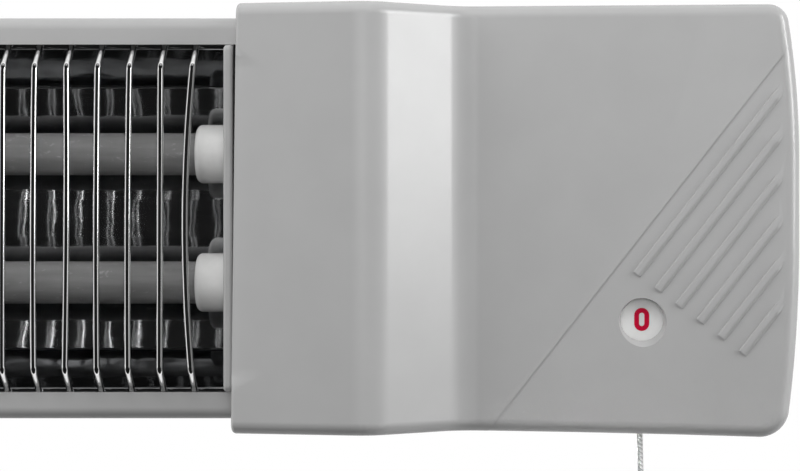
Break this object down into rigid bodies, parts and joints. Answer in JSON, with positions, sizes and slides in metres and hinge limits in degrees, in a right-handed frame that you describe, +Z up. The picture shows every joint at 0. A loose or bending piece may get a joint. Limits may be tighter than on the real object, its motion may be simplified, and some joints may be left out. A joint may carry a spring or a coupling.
{
  "type": "quartz heater",
  "caption": "Wall-mounted quartz heater: grey housing, mirror reflector, quartz tubes behind a wire guard, moulded control cover with dial window and pull cord, tilting bracket.",
  "frame": {"origin": "middle of the wall bracket's two screw holes, on the wall plane", "axes": "+X along the heater towards the control cover, +Y into the wall, +Z up; the front faces -Y"},
  "size_m": [0.55, 0.1139, 0.2406],
  "materials": {
    "grey_moulding": "moulded grey, glossy",
    "grey_back_plate": "moulded grey, satin",
    "grey_enamel": "painted sheet steel, satin",
    "mirror_sheet": "bright rolled mirror sheet",
    "chromed_wire": "chromed",
    "milky_quartz": "milky, satin",
    "resistance_wire": "oxidised",
    "white_ceramic": "unglazed white",
    "zinc_steel": "zinc plated",
    "grey_fibre": "hard fibre",
    "black_moulding": "moulded black",
    "brass_contact": "bright",
    "lead_insulation": "silicone",
    "white_braid": "braided",
    "white_moulding": "moulded white"
  },
  "bodies": {
    "bracket": {"wall_bracket": "zinc_steel", "pivot_screws": "zinc_steel", "pivot_nuts": "zinc_steel", "friction_washers": "grey_fibre"},
    "heater": {"control_cover": "grey_moulding", "left_end_cover": "grey_moulding", "control_back_cover": "grey_back_plate", "rear_housing": "grey_enamel", "left_tube_plate": "grey_enamel", "right_tube_plate": "grey_enamel", "reflector": "mirror_sheet", "guard_wires": "chromed_wire", "upper_quartz_tube": "milky_quartz", "lower_quartz_tube": "milky_quartz", "upper_heating_coil": "resistance_wire", "lower_heating_coil": "resistance_wire", "upper_left_cap": "white_ceramic", "upper_right_cap": "white_ceramic", "lower_left_cap": "white_ceramic", "lower_right_cap": "white_ceramic", "left_pivot_lug": "zinc_steel", "right_pivot_lug": "zinc_steel", "lug_rivets": "zinc_steel", "back_cover_screws": "zinc_steel", "left_cover_screws": "zinc_steel", "switch_screws": "zinc_steel", "return_spring": "zinc_steel", "switch_body": "black_moulding", "terminal_block": "black_moulding", "cable_gland": "black_moulding", "cap_terminals": "brass_contact", "switch_terminals": "brass_contact", "terminal_screws": "brass_contact", "upper_lead": "lead_insulation", "lower_lead": "lead_insulation", "left_link_lead": "lead_insulation", "return_lead": "lead_insulation", "cord_bush": "white_moulding"},
    "pull": {"pull_rod": "black_moulding", "inner_cord": "white_braid"},
    "dial": {"indicator_dial": "white_moulding"},
    "cord": {"pull_cord": "white_braid", "pull_knob": "white_moulding"}
  },
  "joints": [
    {"name": "tilt", "type": "hinge", "parent": "bracket", "child": "heater", "pos_m": [0, -0.032, 0], "axis": [1, 0, 0], "range_deg": [0, 30]},
    {"name": "pull", "type": "slide", "parent": "heater", "child": "pull", "axis": [0, 0, -1], "range_m": [0, 0.021], "stiffness_N_per_m": 150, "springref_m": -0.01},
    {"name": "dial", "type": "hinge", "parent": "heater", "child": "dial", "pos_m": [0.2248, -0.093, -0.0224], "axis": [0, -1, 0], "range_deg": [0, 120.5]},
    {"name": "cord_swing", "type": "hinge", "parent": "pull", "child": "cord", "pos_m": [0.2251, -0.07, -0.07013], "axis": [1, 0, 0], "range_deg": [-30.5, 0.5]}
  ],
  "couplings": [
    {"joint": "dial", "follows": "pull", "rad_per_m": 99.73},
    {"joint": "cord_swing", "follows": "tilt", "ratio": -1}
  ]
}
